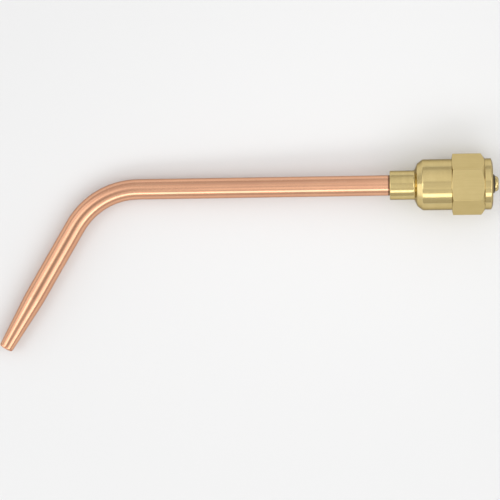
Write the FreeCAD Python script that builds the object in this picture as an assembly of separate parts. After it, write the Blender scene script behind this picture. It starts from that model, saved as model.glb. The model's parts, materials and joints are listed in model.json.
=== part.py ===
# Heating nozzle for a gas torch: a bent copper flame tube, brazed into a brass mixer,
# and the loose brass nut that couples it to the torch handle.
# Sizes are in millimetres and degrees.
# The nozzle lies as it comes to rest, on the nut's hexagon and along its bent leg.
# +X points along the tube towards the handle, and +Z is up.
import FreeCAD, Part
import math
import os

# Flame tube
tube_od = 7.94           # drawn copper tube, five sixteenths of an inch
tube_wall = 1.2
corner_to_nut = 114.4    # from where the two runs would cross to the neck of the nut
bend_angle = 59.2
bend_radius = 28.7       # of the tube's centre line
leg_length = 71.5        # from where the two runs would cross to the flame end
taper_length = 22.6      # stretch of the leg that is swaged down
tip_od = 5.4
tip_rounding = 0.9
tip_plug = 9.0           # solid copper that the flame ports are drilled through
chamber_end_d = 4.6      # gas chamber where it meets the plug
port_d = 1.2
port_count = 6           # in the ring, with one more in the middle
port_ring_back_d = 3.3   # ring of ports where they leave the chamber
port_ring_front_d = 4.4  # ring of ports at the flame end, where they break out at the rim

# Coupling nut, outside, turned from hexagon bar
across_flats = 20.64     # thirteen sixteenths of an inch
neck_d = 11.3
neck_length = 9.5
neck_rounding = 0.35
neck_fillet = 0.7        # hollow between the neck and the shoulder
shoulder_angle = 67.0    # between the shoulder's steep cone and the axis
knee_d = 16.5            # where the steep cone meets the broad chamfer
knee_rounding = 0.4
chamfer_angle = 37.5     # between the broad chamfer and the axis
shoulder_rounding = 0.7
body_d = 19.8
body_length = 11.2
hex_length = 12.9
hex_back_chamfer_angle = 14.0
hex_front_chamfer_angle = 38.0
collar_d = 19.9
collar_length = 2.4
collar_rounding = 0.35
crown_d = 16.8           # raised mouth of the nut
crown_height = 0.6

# Coupling nut, inside
neck_clearance = 0.08    # running fit of the nut on the tube
braze_relief = 1.2       # chamfer in the nut that clears the braze fillet
seat_wall = 2.0          # from the shoulder outside to the inner shoulder that pulls on the mixer
pilot_bore_d = 14.5      # plain bore behind the thread
thread_major_d = 15.88   # coupling thread, five eighths of an inch, bored to its roots
thread_relief_d = 16.3
thread_relief_length = 2.0
thread_length = 17.0
mouth_chamfer_d = 16.4

# Mixer, from its flange to its nose
seat_play = 0.1          # between the nut's inner shoulder and the flange
flange_d = 14.0
flange_length = 3.5
rear_land_d = 10.8
rear_land_back_length = 2.2
rear_groove_width = 1.8
rear_groove_d = 9.2
rear_land_front_length = 1.9
gallery_d = 7.2
gallery_length = 2.4
barrel_d = 8.6
barrel_taper_length = 1.4
front_land_d = 6.8
front_land_length = 3.05
front_groove_width = 1.7
front_groove_d = 4.3
nose_d = 6.0
nose_length = 1.35
nose_rounding = 1.25
nose_reach = 2.9         # how far the nose stands out past the collar's face
land_chamfer = 0.3

# Mixer, gas ways
socket_depth = 5.0       # the tube is brazed into this socket
oxygen_hole_d = 1.7
oxygen_hole_length = 11.9
oxygen_mouth_d = 2.5
mixing_bore_d = 3.4
diffuser_length = 3.4
fuel_hole_d = 1.2
fuel_hole_count = 4

# Seals and braze
front_seal_section = 1.6
rear_seal_section = 1.5
seal_slack = 0.02        # between an O-ring and the floor of its groove
braze_leg = 0.8

# Derived sizes
tube_r = tube_od / 2
bore_r = tube_r - tube_wall
leg_turn = math.radians(bend_angle)
bend_tangent = bend_radius * math.tan(leg_turn / 2)
neck_r = neck_d / 2
body_r = body_d / 2
collar_r = collar_d / 2
hex_corner_r = across_flats / math.sqrt(3)
knee_r = knee_d / 2
cone_length = (knee_r - neck_r) / math.tan(math.radians(shoulder_angle))
chamfer_length = (body_r - knee_r) / math.tan(math.radians(chamfer_angle))
shoulder_length = cone_length + chamfer_length
nut_length = neck_length + shoulder_length + body_length + hex_length + collar_length
nut_end = corner_to_nut + nut_length
hex_back = -collar_length - hex_length
hex_front_slope = math.tan(math.radians(hex_front_chamfer_angle))
hex_back_slope = math.tan(math.radians(hex_back_chamfer_angle))
nut_seat = hex_back - body_length + seat_wall
flange_back = nut_seat + seat_play
rear_lengths = flange_length + rear_land_back_length + rear_groove_width + rear_land_front_length
front_lengths = barrel_taper_length + front_land_length + front_groove_width + nose_length
barrel_length = nose_reach - flange_back - rear_lengths - gallery_length - front_lengths
tube_end = nut_end + flange_back + socket_depth

CENTRE = FreeCAD.Vector(0, 0, 0)
ALONG = FreeCAD.Vector(1, 0, 0)
ACROSS = FreeCAD.Vector(0, 1, 0)
UP = FreeCAD.Vector(0, 0, 1)
PAST = 1.0               # how far a cutting tool runs past the face that it breaks


def outline(corners):
    """Closed wire through corners (x, r) or (x, r, rounding), in the plane of the axis."""
    points = [FreeCAD.Vector(corner[0], corner[1], 0) for corner in corners]
    edges = []
    enters = []
    leaves = []
    arcs = []
    for i, corner in enumerate(corners):
        here = points[i]
        if len(corner) < 3:
            enters.append(here)
            leaves.append(here)
            arcs.append(None)
            continue
        back = (points[i - 1] - here).normalize()
        ahead = (points[(i + 1) % len(points)] - here).normalize()
        half = back.getAngle(ahead) / 2
        inward = (back + ahead).normalize()
        enter = here + back * (corner[2] / math.tan(half))
        leave = here + ahead * (corner[2] / math.tan(half))
        crest = here + inward * (corner[2] / math.sin(half) - corner[2])
        enters.append(enter)
        leaves.append(leave)
        arcs.append(Part.Arc(enter, crest, leave).toShape())
    for i, arc in enumerate(arcs):
        if arc:
            edges.append(arc)
        start = leaves[i]
        end = enters[(i + 1) % len(enters)]
        edges.append(Part.LineSegment(start, end).toShape())
    return Part.Wire(edges)


def turned(corners):
    """Solid of revolution about the X axis."""
    return Part.Face(outline(corners)).revolve(CENTRE, ALONG, 360)


def down_the_leg(shape):
    """Turns what was made along +X, from the corner, so that it lies along the bent leg."""
    shape.rotate(CENTRE, UP, 180 + bend_angle)
    return shape


def bent_rod(radius, straight_end, leg_corners):
    """Round rod along the straight run and the elbow, then the leg's own outline."""
    run = straight_end - bend_tangent
    tangent_point = FreeCAD.Vector(bend_tangent, 0, 0)
    bend_centre = FreeCAD.Vector(bend_tangent, -bend_radius, 0)
    straight = Part.makeCylinder(radius, run, tangent_point, ALONG)
    ring = Part.Wire(Part.makeCircle(radius, tangent_point, ALONG))
    elbow = Part.Face(ring).revolve(bend_centre, UP, bend_angle)
    leg = down_the_leg(turned(leg_corners))
    return straight.fuse([elbow, leg])


def flame_ports():
    """The drilled ring of spreading ports and the middle one, in the solid end of the leg."""
    back = leg_length - tip_plug
    middle = FreeCAD.Vector(back - PAST, 0, 0)
    ports = [Part.makeCylinder(port_d / 2, tip_plug + 2 * PAST, middle, ALONG)]
    spread = math.atan2((port_ring_front_d - port_ring_back_d) / 2, tip_plug)
    for i in range(port_count):
        start = FreeCAD.Vector(-PAST, 0, 0)
        port = Part.makeCylinder(port_d / 2, tip_plug / math.cos(spread) + 2 * PAST, start, ALONG)
        port.rotate(CENTRE, ACROSS, -math.degrees(spread))
        port.translate(FreeCAD.Vector(back, 0, port_ring_back_d / 2))
        port.rotate(CENTRE, ALONG, 360 * i / port_count)
        ports.append(port)
    return [down_the_leg(port) for port in ports]


def flame_tube():
    """Copper tube, bent once, its end swaged to a taper, closed and drilled with flame ports."""
    taper_start = leg_length - taper_length
    outside = [
        (bend_tangent, 0),
        (bend_tangent, tube_r),
        (taper_start, tube_r),
        (leg_length, tip_od / 2, tip_rounding),
        (leg_length, 0),
    ]
    inside = [
        (bend_tangent, 0),
        (bend_tangent, bore_r),
        (taper_start, bore_r),
        (leg_length - tip_plug, chamber_end_d / 2),
        (leg_length - tip_plug, 0),
    ]
    tube = bent_rod(tube_r, tube_end, outside)
    bore = bent_rod(bore_r, tube_end + PAST, inside)
    return tube.cut([bore] + flame_ports()).removeSplitter()


def nut_core():
    """Everything round on the outside of the nut: neck, shoulder, body, collar and mouth."""
    neck_back = -nut_length
    shoulder_back = neck_back + neck_length
    shoulder_front = shoulder_back + shoulder_length
    return turned([
        (neck_back, 0),
        (neck_back, neck_r, neck_rounding),
        (shoulder_back, neck_r, neck_fillet),
        (shoulder_back + cone_length, knee_r, knee_rounding),
        (shoulder_front, body_r, shoulder_rounding),
        (hex_back, body_r),
        (hex_back, body_r - PAST),
        (-collar_length, body_r - PAST),
        (-collar_length, collar_r),
        (0, collar_r, collar_rounding),
        (crown_height, crown_d / 2),
        (crown_height, 0),
    ])


def nut_hexagon():
    """Hexagon with its corners turned off: steeply behind, and at a broader angle in front."""
    corners = []
    for i in range(6):
        turn = math.radians(60 * i)
        corner = FreeCAD.Vector(0, math.cos(turn), math.sin(turn)) * hex_corner_r
        corners.append(corner + ALONG * hex_back)
    bar = Part.Face(Part.makePolygon(corners + corners[:1])).extrude(ALONG * hex_length)
    past_corner = hex_corner_r + PAST
    chamfers = turned([
        (hex_back, 0),
        (hex_back, body_r),
        (hex_back + (past_corner - body_r) * hex_back_slope, past_corner),
        (-collar_length - (past_corner - collar_r) * hex_front_slope, past_corner),
        (-collar_length, collar_r),
        (-collar_length, 0),
    ])
    return bar.common(chamfers)


def nut_cavity():
    """Inside of the nut: neck bore, seat for the mixer's flange, thread relief, thread and mouth."""
    neck_bore_r = tube_r + neck_clearance
    thread_back = -thread_length
    relief_back = thread_back - thread_relief_length
    major_r = thread_major_d / 2
    mouth_r = mouth_chamfer_d / 2
    chamfer = mouth_r - major_r
    return turned([
        (-nut_length - PAST, 0),
        (-nut_length - PAST, neck_bore_r),
        (nut_seat - braze_relief, neck_bore_r),
        (nut_seat, neck_bore_r + braze_relief),
        (nut_seat, pilot_bore_d / 2),
        (relief_back, pilot_bore_d / 2),
        (relief_back, thread_relief_d / 2),
        (thread_back, thread_relief_d / 2),
        (thread_back, major_r),
        (crown_height - chamfer, major_r),
        (crown_height, mouth_r),
        (crown_height + PAST, mouth_r),
        (crown_height + PAST, 0),
    ])


def coupling_nut():
    """Loose nut that turns on the tube and pulls the mixer into the handle."""
    nut = nut_core().fuse(nut_hexagon()).cut(nut_cavity()).removeSplitter()
    nut.translate(ALONG * nut_end)
    return nut


def stations():
    """Places along the mixer, from the back of its flange to the tip of its nose."""
    lengths = {
        "flange": flange_length,
        "rear_land_back": rear_land_back_length,
        "rear_groove": rear_groove_width,
        "rear_land_front": rear_land_front_length,
        "gallery": gallery_length,
        "barrel": barrel_length,
        "barrel_taper": barrel_taper_length,
        "front_land": front_land_length,
        "front_groove": front_groove_width,
        "nose": nose_length,
    }
    places = {}
    here = nut_end + flange_back
    for name, length in lengths.items():
        places[name] = (here, here + length)
        here += length
    return places


def mixer_outside(at):
    """The mixer as turned, before the gas ways are drilled."""
    land_r = rear_land_d / 2
    front_r = front_land_d / 2
    return turned([
        (at["flange"][0], 0),
        (at["flange"][0], flange_d / 2),
        (at["flange"][1] - land_chamfer, flange_d / 2),
        (at["flange"][1], flange_d / 2 - land_chamfer),
        (at["flange"][1], land_r),
        (at["rear_groove"][0], land_r),
        (at["rear_groove"][0], rear_groove_d / 2),
        (at["rear_groove"][1], rear_groove_d / 2),
        (at["rear_groove"][1], land_r),
        (at["rear_land_front"][1] - land_chamfer, land_r),
        (at["rear_land_front"][1], land_r - land_chamfer),
        (at["gallery"][0], gallery_d / 2),
        (at["gallery"][1], gallery_d / 2),
        (at["barrel"][0], barrel_d / 2),
        (at["barrel"][1], barrel_d / 2),
        (at["barrel_taper"][1], front_r),
        (at["front_groove"][0], front_r),
        (at["front_groove"][0], front_groove_d / 2),
        (at["front_groove"][1], front_groove_d / 2),
        (at["front_groove"][1], nose_d / 2),
        (at["nose"][1], nose_d / 2, nose_rounding),
        (at["nose"][1], 0),
    ])


def mixer_gas_ways(at):
    """Oxygen hole in the nose, mixing bore, diffuser and tube socket, with the fuel holes across."""
    socket_floor = at["flange"][0] + socket_depth
    nose_end = at["nose"][1]
    mixing_start = nose_end - oxygen_hole_length
    oxygen_r = oxygen_hole_d / 2
    mouth_r = oxygen_mouth_d / 2
    mixing_r = mixing_bore_d / 2
    ways = [turned([
        (at["flange"][0] - PAST, 0),
        (at["flange"][0] - PAST, tube_r),
        (socket_floor, tube_r),
        (socket_floor, bore_r),
        (socket_floor + diffuser_length, mixing_r),
        (mixing_start, mixing_r),
        (mixing_start, oxygen_r),
        (nose_end - (mouth_r - oxygen_r), oxygen_r),
        (nose_end, mouth_r),
        (nose_end + PAST, mouth_r),
        (nose_end + PAST, 0),
    ])]
    middle = sum(at["gallery"]) / 2
    for i in range(fuel_hole_count):
        hole = Part.makeCylinder(fuel_hole_d / 2, barrel_d, FreeCAD.Vector(middle, 0, 0), UP)
        hole.rotate(CENTRE, ALONG, 360 * i / fuel_hole_count)
        ways.append(hole)
    return ways


def mixer_body():
    """Brass mixer: the nut pulls on its flange, and its nose seals in the torch handle."""
    at = stations()
    return mixer_outside(at).cut(mixer_gas_ways(at)).removeSplitter()


def seal(groove, groove_d, section):
    """O-ring in the middle of its groove."""
    middle = FreeCAD.Vector(sum(groove) / 2, 0, 0)
    return Part.makeTorus(groove_d / 2 + seal_slack + section / 2, section / 2, middle, ALONG)


def front_o_ring():
    """Seal just behind the nose, between oxygen and fuel gas."""
    return seal(stations()["front_groove"], front_groove_d, front_seal_section)


def rear_o_ring():
    """Seal behind the fuel holes, between fuel gas and the open air."""
    return seal(stations()["rear_groove"], rear_groove_d, rear_seal_section)


def braze_fillet():
    """Hollow fillet of silver braze between the tube and the back of the mixer's flange."""
    back = nut_end + flange_back
    foot = FreeCAD.Vector(back - braze_leg, tube_r, 0)
    head = FreeCAD.Vector(back, tube_r + braze_leg, 0)
    root = FreeCAD.Vector(back, tube_r, 0)
    hollow = root + (foot + head - root * 2) * (1 - math.sqrt(0.5))
    edges = [
        Part.Arc(foot, hollow, head).toShape(),
        Part.LineSegment(head, root).toShape(),
        Part.LineSegment(root, foot).toShape(),
    ]
    return Part.Face(Part.Wire(edges)).revolve(CENTRE, ALONG, 360)


def lift_to_rest_on(station, depth):
    """Rise of the straight run when the nut touches down at this station and depth."""
    reach = math.hypot(station, depth)
    return math.atan2(depth, station) - math.asin(tube_r / reach)


def resting_frames():
    """Attitudes at rest of the tube with its mixer, and of the nut, which turns freely on it."""
    hex_edge = nut_end + hex_back + (across_flats / 2 - body_r) * hex_back_slope
    body_edge = corner_to_nut + neck_length + shoulder_length
    body_edge += shoulder_rounding * math.tan(math.radians(chamfer_angle) / 2)
    rise = max(lift_to_rest_on(hex_edge, across_flats / 2), lift_to_rest_on(body_edge, body_r))
    straight = FreeCAD.Vector(math.cos(rise), 0, math.sin(rise))
    leg_x = -math.cos(leg_turn) / math.cos(rise)
    leg = FreeCAD.Vector(leg_x, -math.sqrt(1 - leg_x * leg_x), 0)
    across = (leg + straight * math.cos(leg_turn)) * (-1 / math.sin(leg_turn))
    tube_frame = attitude(straight, across)
    nut_frame = attitude(straight, ACROSS)
    return tube_frame, nut_frame


def attitude(along, across):
    """Placement that turns X to along and Y to across, with the leg lying on the surface."""
    upright = along.cross(across)
    return FreeCAD.Placement(FreeCAD.Matrix(
        along.x, across.x, upright.x, 0,
        along.y, across.y, upright.y, 0,
        along.z, across.z, upright.z, tube_r,
        0, 0, 0, 1,
    ))


def placed(shape, frame):
    """The shape turned into its attitude at rest."""
    return shape.transformed(frame.toMatrix(), True)


def resting_pieces():
    """Every piece in its place, with the origin under the middle of the whole.

    The tube's attitude and the middle go with them, for whoever needs other points of the part.
    """
    tube_frame, nut_frame = resting_frames()
    pieces = {
        "flame_tube": placed(flame_tube(), tube_frame),
        "mixer_body": placed(mixer_body(), tube_frame),
        "braze_fillet": placed(braze_fillet(), tube_frame),
        "front_o_ring": placed(front_o_ring(), tube_frame),
        "rear_o_ring": placed(rear_o_ring(), tube_frame),
        "coupling_nut": placed(coupling_nut(), nut_frame),
    }
    box = Part.makeCompound(list(pieces.values())).optimalBoundingBox(False, False)
    middle = FreeCAD.Vector((box.XMin + box.XMax) / 2, (box.YMin + box.YMax) / 2, 0)
    for shape in pieces.values():
        shape.translate(-middle)
    return pieces, tube_frame, middle


def main():
    os.makedirs("parts", exist_ok=True)
    pieces = resting_pieces()[0]
    for name, shape in pieces.items():
        shape.exportStep(f"parts/{name}.step")


main()
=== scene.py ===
# A bent copper heating nozzle with its brass coupling nut, lying on a pale studio floor.
# Lengths are in metres and angles in degrees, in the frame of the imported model.
import json
import math

import bmesh
import bpy
from mathutils import Matrix, Vector


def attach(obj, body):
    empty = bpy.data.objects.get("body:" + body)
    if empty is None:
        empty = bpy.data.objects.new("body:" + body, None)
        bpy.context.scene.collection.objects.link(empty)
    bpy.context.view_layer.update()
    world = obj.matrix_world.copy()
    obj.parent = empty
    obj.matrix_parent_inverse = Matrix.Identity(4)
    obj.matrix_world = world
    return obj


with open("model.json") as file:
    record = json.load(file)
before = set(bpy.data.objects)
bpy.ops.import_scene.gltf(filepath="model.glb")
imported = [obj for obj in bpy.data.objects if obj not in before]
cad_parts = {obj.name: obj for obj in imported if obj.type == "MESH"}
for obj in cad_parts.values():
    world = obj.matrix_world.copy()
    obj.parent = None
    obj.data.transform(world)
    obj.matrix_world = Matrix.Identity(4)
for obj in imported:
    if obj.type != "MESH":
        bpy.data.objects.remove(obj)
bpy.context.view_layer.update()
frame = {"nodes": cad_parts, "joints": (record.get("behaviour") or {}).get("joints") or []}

# The nut turns about the line that the straight of the tube lies on
nut_joint = frame["joints"][0]
TUBE_AXIS = Vector(nut_joint["axis"]).normalized()
RIM_CENTRE = Vector(nut_joint["pos_m"])

# The tube's bend and the nut's outside, as in the solids
BEND_ANGLE = 59.2
BEND_RADIUS = 0.0287
CORNER_TO_RIM = 0.15365      # from where the two runs would cross to the rim of the nut
NECK_TO_RIM = 0.039254       # from the end of the nut's neck to its rim
HEX_FLAT_RADIUS = 0.01025    # outside this radius only the hexagon's flats and corners lie

# Internal thread of the nut
THREAD_PITCH = 0.0254 / 18
THREAD_ROOT_RADIUS = 0.00797
THREAD_CREST_RADIUS = 0.00725
THREAD_DEPTH_IN_NUT = 0.0169  # from the rim to the thread's far end
THREAD_MOUTH = 0.0008         # and to its near end
THREAD_CREST_SHARE = 0.16     # width of the ridge's crest, as a share of the pitch
THREAD_ROOT_SHARE = 0.86      # width of the ridge's foot
THREAD_SEGMENTS = 72          # in one turn
THREAD_FADE_TURNS = 0.6       # the ridge grows to its height over these
THREAD_LEAST_HEIGHT = 0.02    # at its very ends, as a share of the full height

# Linear colours. A grazing colour tints what a metal mirrors where it is seen edge-on.
COPPER = (0.875, 0.485, 0.3)
COPPER_DARK = (0.73, 0.375, 0.24)
# painted shade for the tube where it goes into the nut's neck
COPPER_NECK_SHADE = (0.20, 0.105, 0.065)
COPPER_GRAZING = (0.48, 0.46, 0.45)
BRASS = (0.70, 0.555, 0.26)
BRASS_DARK = (0.62, 0.48, 0.21)
BRASS_GRAZING = (0.44, 0.42, 0.40)
RUBBER = (0.040, 0.030, 0.017)
SILVER_BRAZE = (0.62, 0.58, 0.50)
FLOOR = (0.82, 0.82, 0.82)

# In the finishes below, CELLS is how many cells of noise go to a metre: one number for all
# ways, or three for the way along the piece and the two across it. RANGE is where a noise
# starts to show and where it shows in full, and SHARE how much of a second colour it then
# mixes in. DEPTH is a bump's height, and EDGE the radius that edges are softened by.
MOST_OF_NOISE = (0.3, 0.7)   # nearly all of a noise lies between these

COPPER_WIDE_LINE_CELLS = (9.0, 700.0, 700.0)
COPPER_FINE_LINE_CELLS = (45.0, 3600.0, 3600.0)
COPPER_TARNISH_CELLS = 55.0
COPPER_TARNISH_RANGE = (0.35, 0.75)
COPPER_TARNISH_SHARE = 0.4
COPPER_STREAK_SHARE = 0.4
COPPER_ROUGHNESS = (0.23, 0.28)
COPPER_LINE_DEPTH = 0.0000015
COPPER_EDGE = 0.00008
COPPER_BRUSHING = 0.7

NECK_SHADE_WIDTH = 0.0005       # painted shade: a dark ring on the tube where the nut's neck shades it
NECK_SHADE_FADE = 0.0003
NECK_SHADE_SHARE = 0.9

BRASS_RING_CELLS = 2600.0
BRASS_WIDE_RING_CELLS = 520.0
BRASS_FLAT_LINE_CELLS = (60.0, 2400.0, 2400.0)
BRASS_MOTTLE_CELLS = 160.0
BRASS_MOTTLE_RANGE = (0.3, 0.75)
BRASS_MOTTLE_SHARE = 0.45
BRASS_STREAK_SHARE = 0.45
BRASS_LINE_DEPTH = 0.000005
BRASS_EDGE = 0.00018
BRASS_BRUSHING = 0.6
NUT_ROUGHNESS = 0.2
MIXER_ROUGHNESS = 0.17
RING_POLISH = 0.04           # how far wide rings lower and raise the roughness
RING_WEAR = 0.05
FLAT_ADDED_ROUGHNESS = 0.08
FLAT_FACING = 0.15           # a flat faces along the axis less than this, a cone more

RUBBER_GRAIN_CELLS = 9000.0
RUBBER_GRAIN_DEPTH = 0.000004
RUBBER_BLOOM_CELLS = 900.0
RUBBER_BLOOM_RANGE = (0.4, 0.7)
RUBBER_BLOOM_SHARE = 0.6
RUBBER_BLOOM_LIFT = 1.8      # how much lighter the bloom is
RUBBER_ROUGHNESS = (0.38, 0.52)
RUBBER_SHINE = 0.3

BRAZE_RIPPLE_CELLS = 1400.0
BRAZE_RIPPLE_DEPTH = 0.00004
BRAZE_STAIN_CELLS = 500.0
BRAZE_STAIN_RANGE = (0.45, 0.75)
BRAZE_STAIN_SHARE = 0.5
BRAZE_ROUGHNESS = (0.22, 0.36)

FLOOR_HALF_WIDTH = 3.0
FLOOR_ROUGHNESS = 0.9

# The room's light: how high a direction points, from 0 at the horizon and below it to 1
# straight up, and the level there
ROOM_LEVELS = ((0.0, 0.54), (0.26, 0.6), (0.5, 0.66), (0.77, 0.745), (0.93, 0.745), (0.99, 0.31))

# Lamps
ALONG_X = (1.0, 0.0, 0.0)
ALONG_Y = (0.0, 1.0, 0.0)
LEFT_LIGHT_WAY = (0.3, -0.95, 0.0)   # level, and nearly square to its beam
WATTS_PER_RADIANCE = 4       # of a rectangular lamp, for each square metre
AIM_AT_RUN = Vector((0.0, 0.02, 0.0))
AIM_AT_LEG = Vector((-0.08, -0.01, 0.0))
AIM_AT_NUT = Vector((0.07, 0.025, 0.01))
LOW_PANEL_HEIGHT = 0.12
LOW_PANEL_SEAM_X = 0.052     # where the low panels meet
LOW_PANEL_SEAM_Y = 0.045
RUN_SPAN = (-0.043, LOW_PANEL_SEAM_X)
NUT_SPAN = (LOW_PANEL_SEAM_X, 0.112)
NEAR_SPAN = (-0.008, LOW_PANEL_SEAM_Y)
RUN_FAR_SPAN = (LOW_PANEL_SEAM_Y, 0.2)
NUT_FAR_SPAN = (LOW_PANEL_SEAM_Y, 0.38)

# Camera, straight above and a little towards the top of the picture
CAMERA_DISTANCE = 1.2
CAMERA_TILT = 3.4
CAMERA_ROLL = -1.009
CAMERA_AIM = Vector((0.00069, 0.00056, 0.0))
CAMERA_LENS = 220.5          # this and the sensor in millimetres
SENSOR_WIDTH = 36.0
CLIP_START = 0.05
CLIP_END = 20.0


class Graph:
    """A material's or world's nodes, added one call at a time."""

    # The two inputs and the result of a Mix node, by the kind of value that it mixes
    MIX_SOCKETS = {"FLOAT": (2, 3, 0), "VECTOR": (4, 5, 1), "RGBA": (6, 7, 2)}
    EDGE_SAMPLES = 6

    def __init__(self, tree):
        self.tree = tree
        tree.nodes.clear()

    def node(self, kind, **settings):
        made = self.tree.nodes.new(kind)
        for name, value in settings.items():
            setattr(made, name, value)
        return made

    def feed(self, socket, value):
        if isinstance(value, bpy.types.NodeSocket):
            self.tree.links.new(value, socket)
        else:
            socket.default_value = value

    def math(self, operation, first, second=0.0):
        made = self.node("ShaderNodeMath", operation=operation)
        self.feed(made.inputs[0], first)
        self.feed(made.inputs[1], second)
        return made.outputs[0]

    def vector(self, operation, first, second=(0.0, 0.0, 0.0)):
        made = self.node("ShaderNodeVectorMath", operation=operation)
        self.feed(made.inputs[0], first)
        self.feed(made.inputs[1], second)
        number = operation in ("DOT_PRODUCT", "LENGTH")
        return made.outputs["Value" if number else "Vector"]

    def combined(self, x, y, z):
        made = self.node("ShaderNodeCombineXYZ")
        for socket, value in zip(made.inputs, (x, y, z)):
            self.feed(socket, value)
        return made.outputs[0]

    def mix(self, kind, factor, first, second):
        made = self.node("ShaderNodeMix", data_type=kind)
        first_input, second_input, result = self.MIX_SOCKETS[kind]
        self.feed(made.inputs["Factor"], factor)
        self.feed(made.inputs[first_input], first)
        self.feed(made.inputs[second_input], second)
        return made.outputs[result]

    def noise(self, place, scale, detail=2.0, roughness=0.5):
        made = self.node("ShaderNodeTexNoise")
        self.feed(made.inputs["Vector"], place)
        made.inputs["Scale"].default_value = scale
        made.inputs["Detail"].default_value = detail
        made.inputs["Roughness"].default_value = roughness
        return made.outputs["Fac"]

    def lines(self, place, cells, detail=2.0):
        """A noise that is drawn out into lines along the first of the place's axes."""
        return self.noise(self.vector("MULTIPLY", place, cells), 1.0, detail)

    def spread(self, value, given, wanted):
        """The value carried from the given range to the wanted one, and kept within it."""
        made = self.node("ShaderNodeMapRange")
        self.feed(made.inputs["Value"], value)
        for name, number in zip(("From Min", "From Max", "To Min", "To Max"), given + wanted):
            made.inputs[name].default_value = number
        return made.outputs["Result"]

    def bump(self, height, depth, normal=None):
        made = self.node("ShaderNodeBump")
        made.inputs["Strength"].default_value = 1.0
        made.inputs["Distance"].default_value = depth
        self.feed(made.inputs["Height"], height)
        if normal is not None:
            self.feed(made.inputs["Normal"], normal)
        return made.outputs["Normal"]

    def soft_edges(self, radius):
        made = self.node("ShaderNodeBevel", samples=self.EDGE_SAMPLES)
        made.inputs["Radius"].default_value = radius
        return made.outputs["Normal"]

    def place(self):
        return self.node("ShaderNodeTexCoord").outputs["Object"]

    def surface(self, shader):
        output = self.node("ShaderNodeOutputMaterial")
        self.tree.links.new(shader, output.inputs["Surface"])


def new_material(name):
    material = bpy.data.materials.new(name)
    material.use_nodes = True
    return material, Graph(material.node_tree)


def principled(graph, colour, roughness, normal=None, metallic=1.0):
    shader = graph.node("ShaderNodeBsdfPrincipled")
    graph.feed(shader.inputs["Base Color"], colour)
    graph.feed(shader.inputs["Roughness"], roughness)
    shader.inputs["Metallic"].default_value = metallic
    if normal is not None:
        graph.feed(shader.inputs["Normal"], normal)
    graph.surface(shader.outputs["BSDF"])
    return shader


def brushed(graph, shader, along, amount, grazing_tint):
    """Reflections drawn out along the given direction, as by fine marks across it."""
    graph.feed(shader.inputs["Tangent"], along)
    shader.inputs["Anisotropic"].default_value = amount
    shader.inputs["Specular Tint"].default_value = opaque(grazing_tint)


def opaque(colour):
    return (*colour, 1.0)


def tube_line():
    """The direction of the leg, the bend's centre, and its plane's normal."""
    leg_x = -math.cos(math.radians(BEND_ANGLE)) / TUBE_AXIS.x
    leg = Vector((leg_x, -math.sqrt(1 - leg_x * leg_x), 0.0))
    corner = RIM_CENTRE - TUBE_AXIS * CORNER_TO_RIM
    inwards = (TUBE_AXIS + leg).normalized()
    reach = BEND_RADIUS / math.cos(math.radians(BEND_ANGLE / 2))
    return leg, corner + inwards * reach, TUBE_AXIS.cross(leg).normalized()


def along_the_tube(graph):
    """A point's place in the tube, as if it were straight, and the tube's direction there.

    The place is the way along the tube, out of its bend and across it.
    """
    leg, centre, upright = tube_line()
    out_of_run = TUBE_AXIS.cross(upright)
    out_of_leg = -leg.cross(upright)
    place = graph.vector("SUBTRACT", graph.place(), tuple(centre))
    run_way = graph.vector("DOT_PRODUCT", place, tuple(TUBE_AXIS))
    leg_way = graph.vector("DOT_PRODUCT", place, tuple(leg))
    run_out = graph.vector("DOT_PRODUCT", place, tuple(out_of_run))
    leg_out = graph.vector("DOT_PRODUCT", place, tuple(out_of_leg))
    across = graph.vector("DOT_PRODUCT", place, tuple(upright))
    bend_out = graph.vector("LENGTH", graph.combined(run_way, run_out, 0.0))
    turned = graph.math("ARCTAN2", graph.math("MULTIPLY", run_way, -1.0), run_out)
    bend_way = graph.math("MULTIPLY", turned, -BEND_RADIUS)
    bend_length = math.radians(BEND_ANGLE) * BEND_RADIUS
    past_bend = graph.math("SUBTRACT", -bend_length, leg_way)
    on_leg = graph.math("GREATER_THAN", leg_way, 0.0)
    on_run = graph.math("GREATER_THAN", run_way, 0.0)
    bent_way = graph.mix("FLOAT", on_leg, bend_way, past_bend)
    way = graph.mix("FLOAT", on_run, bent_way, run_way)
    bent_out = graph.mix("FLOAT", on_leg, bend_out, leg_out)
    out = graph.mix("FLOAT", on_run, bent_out, run_out)
    place_in_tube = graph.combined(way, graph.math("SUBTRACT", out, BEND_RADIUS), across)
    in_bend = graph.vector("CROSS_PRODUCT", tuple(upright), place)
    bent = graph.mix("VECTOR", on_leg, in_bend, tuple(leg))
    return place_in_tube, graph.mix("VECTOR", on_run, bent, tuple(TUBE_AXIS))


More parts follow.
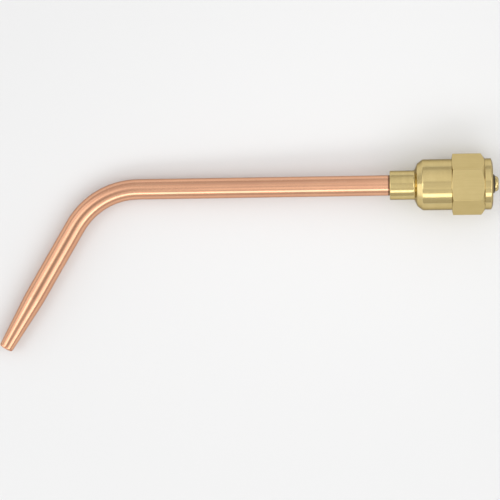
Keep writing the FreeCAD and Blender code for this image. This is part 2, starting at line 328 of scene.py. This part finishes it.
def drawn_copper():
    """Satin copper with faint lines from the drawing die along the tube."""
    material, graph = new_material("drawn_copper")
    place, direction = along_the_tube(graph)
    wide_lines = graph.lines(place, COPPER_WIDE_LINE_CELLS, detail=3.0)
    fine_lines = graph.lines(place, COPPER_FINE_LINE_CELLS)
    tarnish = graph.noise(graph.place(), COPPER_TARNISH_CELLS, detail=3.0, roughness=0.6)
    shade = graph.spread(tarnish, COPPER_TARNISH_RANGE, (0.0, COPPER_TARNISH_SHARE))
    streak = graph.spread(wide_lines, MOST_OF_NOISE, (0.0, COPPER_STREAK_SHARE))
    darker = graph.math("ADD", shade, streak)
    clean = graph.mix("RGBA", darker, opaque(COPPER), opaque(COPPER_DARK))
    # painted shade: the tube is darkened just outside the nut's neck, where the neck shades it
    neck_shade = graph.math("MULTIPLY", painted_shade_at_the_neck(graph, place), NECK_SHADE_SHARE)
    colour = graph.mix("RGBA", neck_shade, clean, opaque(COPPER_NECK_SHADE))
    roughness = graph.spread(wide_lines, MOST_OF_NOISE, COPPER_ROUGHNESS)
    normal = graph.bump(fine_lines, COPPER_LINE_DEPTH, graph.soft_edges(COPPER_EDGE))
    shader = principled(graph, colour, roughness, normal)
    brushed(graph, shader, direction, COPPER_BRUSHING, COPPER_GRAZING)
    return material


def painted_shade_at_the_neck(graph, place):
    """Painted shade: a thin dark ring on the tube, just outside the nut's neck, where the neck
    shades it.
    """
    way = graph.node("ShaderNodeSeparateXYZ")
    graph.feed(way.inputs[0], place)
    bend_to_corner = BEND_RADIUS * math.tan(math.radians(BEND_ANGLE / 2))
    neck_end = CORNER_TO_RIM - NECK_TO_RIM - bend_to_corner
    back = neck_end - NECK_SHADE_WIDTH
    return graph.spread(way.outputs["X"], (back - NECK_SHADE_FADE, back), (0.0, 1.0))


def ring_coordinates(graph):
    """Where a point of a turned piece lies, and how its surface stands there.

    This is its place from the rim's centre, its way along the axis, its distance from the
    axis, how much its surface faces along the axis, and the direction down the surface.
    """
    place = graph.vector("SUBTRACT", graph.place(), tuple(RIM_CENTRE))
    way = graph.vector("DOT_PRODUCT", place, tuple(TUBE_AXIS))
    round_the_axis = graph.vector("CROSS_PRODUCT", place, tuple(TUBE_AXIS))
    radius = graph.vector("LENGTH", round_the_axis)
    normal = graph.node("ShaderNodeNewGeometry").outputs["True Normal"]
    facing = graph.math("ABSOLUTE", graph.vector("DOT_PRODUCT", normal, tuple(TUBE_AXIS)))
    generatrix = graph.vector("CROSS_PRODUCT", round_the_axis, normal)
    return place, way, radius, facing, generatrix


def turned_brass(name, base_roughness):
    """Brass bar: fine lathe rings where it was turned, faint lines along the flats."""
    material, graph = new_material(name)
    place, way, radius, facing, generatrix = ring_coordinates(graph)
    rings_place = graph.combined(way, radius, 0.0)
    rings = graph.noise(rings_place, BRASS_RING_CELLS, detail=3.0, roughness=0.6)
    wide_rings = graph.noise(rings_place, BRASS_WIDE_RING_CELLS, detail=3.0)
    flat_lines = graph.lines(place, BRASS_FLAT_LINE_CELLS)
    outside = graph.math("GREATER_THAN", radius, HEX_FLAT_RADIUS)
    upright = graph.math("LESS_THAN", facing, FLAT_FACING)
    on_flat = graph.math("MULTIPLY", outside, upright)
    height = graph.mix("FLOAT", on_flat, rings, flat_lines)
    mottle = graph.noise(graph.place(), BRASS_MOTTLE_CELLS, detail=4.0, roughness=0.65)
    shade = graph.spread(mottle, BRASS_MOTTLE_RANGE, (0.0, BRASS_MOTTLE_SHARE))
    marks = graph.mix("FLOAT", on_flat, wide_rings, flat_lines)
    streak = graph.spread(marks, MOST_OF_NOISE, (0.0, BRASS_STREAK_SHARE))
    darker = graph.math("ADD", shade, streak)
    colour = graph.mix("RGBA", darker, opaque(BRASS), opaque(BRASS_DARK))
    turned_roughness = (base_roughness - RING_POLISH, base_roughness + RING_WEAR)
    turned = graph.spread(wide_rings, MOST_OF_NOISE, turned_roughness)
    flat_roughness = base_roughness + FLAT_ADDED_ROUGHNESS
    roughness = graph.mix("FLOAT", on_flat, turned, flat_roughness)
    normal = graph.bump(height, BRASS_LINE_DEPTH, graph.soft_edges(BRASS_EDGE))
    shader = principled(graph, colour, roughness, normal)
    brushed(graph, shader, generatrix, BRASS_BRUSHING, BRASS_GRAZING)
    return material


def seal_rubber():
    """Dark rubber with a faint bloom."""
    material, graph = new_material("seal_rubber")
    grain = graph.noise(graph.place(), RUBBER_GRAIN_CELLS, detail=3.0, roughness=0.6)
    bloom = graph.noise(graph.place(), RUBBER_BLOOM_CELLS, detail=3.0)
    lighter = graph.spread(bloom, RUBBER_BLOOM_RANGE, (0.0, RUBBER_BLOOM_SHARE))
    bloom_colour = tuple(RUBBER_BLOOM_LIFT * part for part in RUBBER)
    colour = graph.mix("RGBA", lighter, opaque(RUBBER), opaque(bloom_colour))
    roughness = graph.spread(grain, MOST_OF_NOISE, RUBBER_ROUGHNESS)
    normal = graph.bump(grain, RUBBER_GRAIN_DEPTH)
    shader = principled(graph, colour, roughness, normal, metallic=0.0)
    shader.inputs["Specular IOR Level"].default_value = RUBBER_SHINE
    return material


def silver_braze():
    """Brazing alloy that ran and set, with a slightly rippled skin."""
    material, graph = new_material("silver_braze")
    ripple = graph.noise(graph.place(), BRAZE_RIPPLE_CELLS, detail=4.0, roughness=0.55)
    stain = graph.noise(graph.place(), BRAZE_STAIN_CELLS, detail=3.0)
    stained = graph.spread(stain, BRAZE_STAIN_RANGE, (0.0, BRAZE_STAIN_SHARE))
    colour = graph.mix("RGBA", stained, opaque(SILVER_BRAZE), opaque(BRASS))
    roughness = graph.spread(ripple, MOST_OF_NOISE, BRAZE_ROUGHNESS)
    principled(graph, colour, roughness, graph.bump(ripple, BRAZE_RIPPLE_DEPTH))
    return material


def finish_solids():
    """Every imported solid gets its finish. Gives back the nut's brass."""
    copper = drawn_copper()
    nut_brass = turned_brass("turned_brass", NUT_ROUGHNESS)
    mixer_brass = turned_brass("turned_brass_mixer", MIXER_ROUGHNESS)
    rubber = seal_rubber()
    finishes = {
        "flame_tube": copper,
        "coupling_nut": nut_brass,
        "mixer_body": mixer_brass,
        "front_o_ring": rubber,
        "rear_o_ring": rubber,
        "braze_fillet": silver_braze(),
    }
    for node, finish in finishes.items():
        materials = frame["nodes"][node].data.materials
        if not materials:
            materials.append(finish)
        for index in range(len(materials)):
            materials[index] = finish
    return nut_brass


def nut_sides():
    """Two directions square to the nut's axis and to each other."""
    sideways = TUBE_AXIS.cross(Vector((0.0, 0.0, 1.0))).normalized()
    return sideways, sideways.cross(TUBE_AXIS)


def thread_station(turn, turns):
    """The four corners of the thread's section, this many turns from its inner end."""
    sideways, upwards = nut_sides()
    angle = 2 * math.pi * turn
    outwards = sideways * math.cos(angle) + upwards * math.sin(angle)
    middle = RIM_CENTRE + TUBE_AXIS * (turn * THREAD_PITCH - THREAD_DEPTH_IN_NUT)
    grown = min(1.0, turn / THREAD_FADE_TURNS, (turns - turn) / THREAD_FADE_TURNS)
    full_height = THREAD_ROOT_RADIUS - THREAD_CREST_RADIUS
    crest = THREAD_ROOT_RADIUS - full_height * max(grown, THREAD_LEAST_HEIGHT)
    root_half = TUBE_AXIS * (THREAD_PITCH * THREAD_ROOT_SHARE / 2)
    crest_half = TUBE_AXIS * (THREAD_PITCH * THREAD_CREST_SHARE / 2)
    return (
        middle + outwards * THREAD_ROOT_RADIUS - root_half,
        middle + outwards * crest - crest_half,
        middle + outwards * crest + crest_half,
        middle + outwards * THREAD_ROOT_RADIUS + root_half,
    )


def nut_thread(finish):
    """The nut's internal thread, one helical ridge that rides with the nut.

    It is wound left-handed, although the real thread is right-handed.
    """
    turns = (THREAD_DEPTH_IN_NUT - THREAD_MOUTH) / THREAD_PITCH
    count = int(turns * THREAD_SEGMENTS)
    built = bmesh.new()
    stations = []
    for index in range(count + 1):
        corners = thread_station(turns * index / count, turns)
        stations.append([built.verts.new(corner) for corner in corners])
    for before, after in zip(stations, stations[1:]):
        for side in range(len(before)):
            other = (side + 1) % len(before)
            built.faces.new((before[side], before[other], after[other], after[side]))
    built.faces.new(reversed(stations[0]))
    built.faces.new(stations[-1])
    bmesh.ops.recalc_face_normals(built, faces=built.faces)
    mesh = bpy.data.meshes.new("nut_thread")
    built.to_mesh(mesh)
    built.free()
    mesh.materials.append(finish)
    thread = in_scene("nut_thread", mesh)
    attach(thread, "coupling_nut")


def in_scene(name, data):
    made = bpy.data.objects.new(name, data)
    bpy.context.scene.collection.objects.link(made)
    return made


def floor():
    """A plain pale floor that keeps the shadow."""
    half = FLOOR_HALF_WIDTH
    mesh = bpy.data.meshes.new("studio_floor")
    corners = [(-half, -half, 0.0), (half, -half, 0.0), (half, half, 0.0), (-half, half, 0.0)]
    mesh.from_pydata(corners, [], [(0, 1, 2, 3)])
    material, graph = new_material("studio_floor")
    shader = principled(graph, opaque(FLOOR), FLOOR_ROUGHNESS, metallic=0.0)
    shader.inputs["Specular IOR Level"].default_value = 0.0
    mesh.materials.append(material)
    plane = in_scene("studio_floor", mesh)


def studio_world():
    """A pale room, a little darker at the horizon and straight above."""
    world = bpy.data.worlds.new("studio")
    bpy.context.scene.world = world
    world.use_nodes = True
    graph = Graph(world.node_tree)
    direction = graph.node("ShaderNodeTexCoord").outputs["Generated"]
    parts = graph.node("ShaderNodeSeparateXYZ")
    graph.feed(parts.inputs[0], direction)
    ramp = graph.node("ShaderNodeValToRGB")
    ramp.color_ramp.interpolation = "EASE"
    stops = ramp.color_ramp.elements
    while len(stops) < len(ROOM_LEVELS):
        stops.new(1.0)
    for stop, (height, level) in zip(stops, ROOM_LEVELS):
        stop.position = height
        stop.color = (level, level, level, 1.0)
    graph.feed(ramp.inputs[0], parts.outputs["Z"])
    background = graph.node("ShaderNodeBackground")
    graph.feed(background.inputs["Color"], ramp.outputs["Color"])
    output = graph.node("ShaderNodeOutputWorld")
    graph.feed(output.inputs["Surface"], background.outputs[0])


def panel_light(name, place, aim, width, height, radiance, along=ALONG_X):
    """A soft rectangular lamp of that brightness, its width laid along one direction."""
    data = bpy.data.lights.new(name, "AREA")
    data.shape = "RECTANGLE"
    data.size, data.size_y = width, height
    data.energy = WATTS_PER_RADIANCE * width * height * radiance
    lamp = in_scene(name, data)
    back = (place - aim).normalized()
    across = Vector(along)
    across = (across - back * across.dot(back)).normalized()
    lamp.matrix_world = frame_matrix(across, back.cross(across), back, place)
    lamp.visible_camera = False


def frame_matrix(x_axis, y_axis, z_axis, origin):
    matrix = Matrix.Identity(4)
    for row in range(3):
        matrix[row] = (x_axis[row], y_axis[row], z_axis[row], origin[row])
    return matrix


def standing_panel(name, aim, azimuth, angle, distance, **settings):
    """A panel that angle down from straight above what it lights, towards that azimuth."""
    around, down = math.radians(azimuth), math.radians(angle)
    flat = distance * math.sin(down)
    height = distance * math.cos(down)
    away = Vector((flat * math.cos(around), flat * math.sin(around), height))
    panel_light(name, aim + away, aim, **settings)


def low_panel(name, x_range, y_range, radiance):
    """A small panel that hangs level, close above the object."""
    middle = Vector((sum(x_range) / 2, sum(y_range) / 2, LOW_PANEL_HEIGHT))
    below = middle - Vector((0.0, 0.0, 1.0))
    panel_light(name, middle, below, x_range[1] - x_range[0], y_range[1] - y_range[0], radiance)


def studio_lights():
    """A strip along the run, panels beside the leg and round the nut, and low ones above."""
    leg = tube_line()[0]
    standing_panel("strip_light", AIM_AT_RUN, azimuth=-90.0, angle=47.0, distance=1.1,
                   width=1.6, height=0.32, radiance=1.4)
    standing_panel("leg_light_lower", AIM_AT_LEG, azimuth=-30.0, angle=42.0, distance=1.1,
                   width=0.7, height=0.68, radiance=0.6, along=leg)
    standing_panel("leg_light_upper", AIM_AT_LEG, azimuth=150.0, angle=46.0, distance=1.1,
                   width=0.8, height=1.2, radiance=0.37, along=leg)
    standing_panel("left_light", AIM_AT_NUT, azimuth=198.0, angle=78.0, distance=1.0,
                   width=0.8, height=0.5, radiance=0.8, along=LEFT_LIGHT_WAY)
    standing_panel("high_left_light", AIM_AT_NUT, azimuth=184.0, angle=46.0, distance=1.0,
                   width=0.4, height=0.25, radiance=1.5, along=ALONG_Y)
    standing_panel("right_light", AIM_AT_NUT, azimuth=0.0, angle=58.0, distance=1.0,
                   width=0.6, height=0.6, radiance=1.0, along=ALONG_Y)
    low_panel("run_light", RUN_SPAN, NEAR_SPAN, radiance=0.43)
    low_panel("nut_light", NUT_SPAN, NEAR_SPAN, radiance=0.38)
    low_panel("run_light_upper", RUN_SPAN, RUN_FAR_SPAN, radiance=0.05)
    low_panel("nut_light_upper", NUT_SPAN, NUT_FAR_SPAN, radiance=0.19)


def camera():
    """The photograph's view, from nearly straight above."""
    tilt, roll = math.radians(CAMERA_TILT), math.radians(CAMERA_ROLL)
    right = Vector((math.cos(roll), math.sin(roll), 0.0))
    flat_up = Vector((-math.sin(roll), math.cos(roll), 0.0))
    back = Vector((0.0, 0.0, math.cos(tilt))) + flat_up * math.sin(tilt)
    data = bpy.data.cameras.new("camera")
    data.lens = CAMERA_LENS
    data.sensor_width = SENSOR_WIDTH
    data.clip_start, data.clip_end = CLIP_START, CLIP_END
    view = in_scene("camera", data)
    eye = CAMERA_AIM + back * CAMERA_DISTANCE
    view.matrix_world = frame_matrix(right, back.cross(right), back, eye)
    bpy.context.scene.camera = view


nut_thread(finish_solids())
floor()
studio_world()
studio_lights()
camera()
bpy.context.scene.view_settings.view_transform = "Standard"
